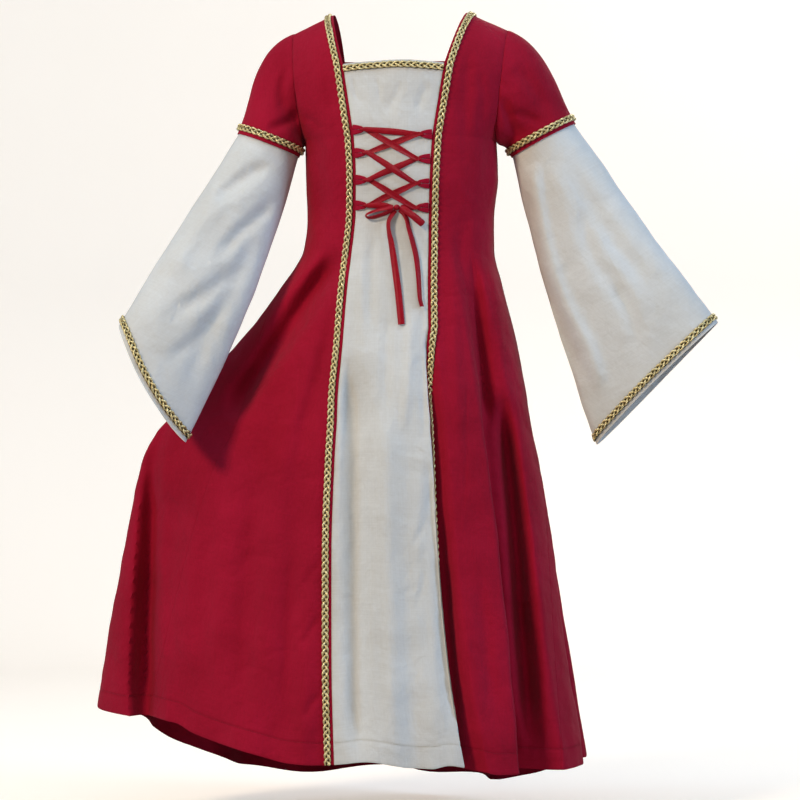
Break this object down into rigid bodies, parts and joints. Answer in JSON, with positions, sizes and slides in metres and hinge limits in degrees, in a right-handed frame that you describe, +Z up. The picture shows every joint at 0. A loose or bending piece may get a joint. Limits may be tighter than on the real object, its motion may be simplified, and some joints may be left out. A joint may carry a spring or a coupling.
{
  "type": "medieval dress",
  "caption": "Long flared dress with a laced pale front panel, square neck, short upper sleeves and wide hanging bell sleeves edged with braid.",
  "frame": {"origin": "midway between the two shoulder seams, at the height of their neck ends", "axes": "+Z up, -Y towards the front of the dress, +X towards the viewer's right from the front, which is the wearer's left"},
  "size_m": [0.8871, 0.4739, 1.1311],
  "materials": {
    "red_linen": "matt woven linen, wine red",
    "natural_linen": "matt woven linen, undyed",
    "gold_braid": "plaited metallic thread, dull gold",
    "red_satin": "smooth satin ribbon, slight sheen"
  },
  "bodies": {
    "root": {"front_middle": "natural_linen", "front_side_left": "red_linen", "front_side_right": "red_linen", "back": "red_linen", "sleeve_left": "red_linen", "sleeve_right": "red_linen", "bell_left": "natural_linen", "bell_right": "natural_linen", "braid_front_left": "gold_braid", "braid_front_right": "gold_braid", "braid_neck_front": "gold_braid", "braid_neck_back": "gold_braid", "braid_sleeve_left": "gold_braid", "braid_sleeve_right": "gold_braid", "braid_cuff_left": "gold_braid", "braid_cuff_right": "gold_braid", "loop_left_1": "red_linen", "loop_left_2": "red_linen", "loop_left_3": "red_linen", "loop_left_4": "red_linen", "loop_right_1": "red_linen", "loop_right_2": "red_linen", "loop_right_3": "red_linen", "loop_right_4": "red_linen", "lacing": "red_satin", "bow_knot": "red_satin", "bow_left": "red_satin", "bow_right": "red_satin", "tail_left": "red_satin", "tail_right": "red_satin"}
  },
  "joints": []
}
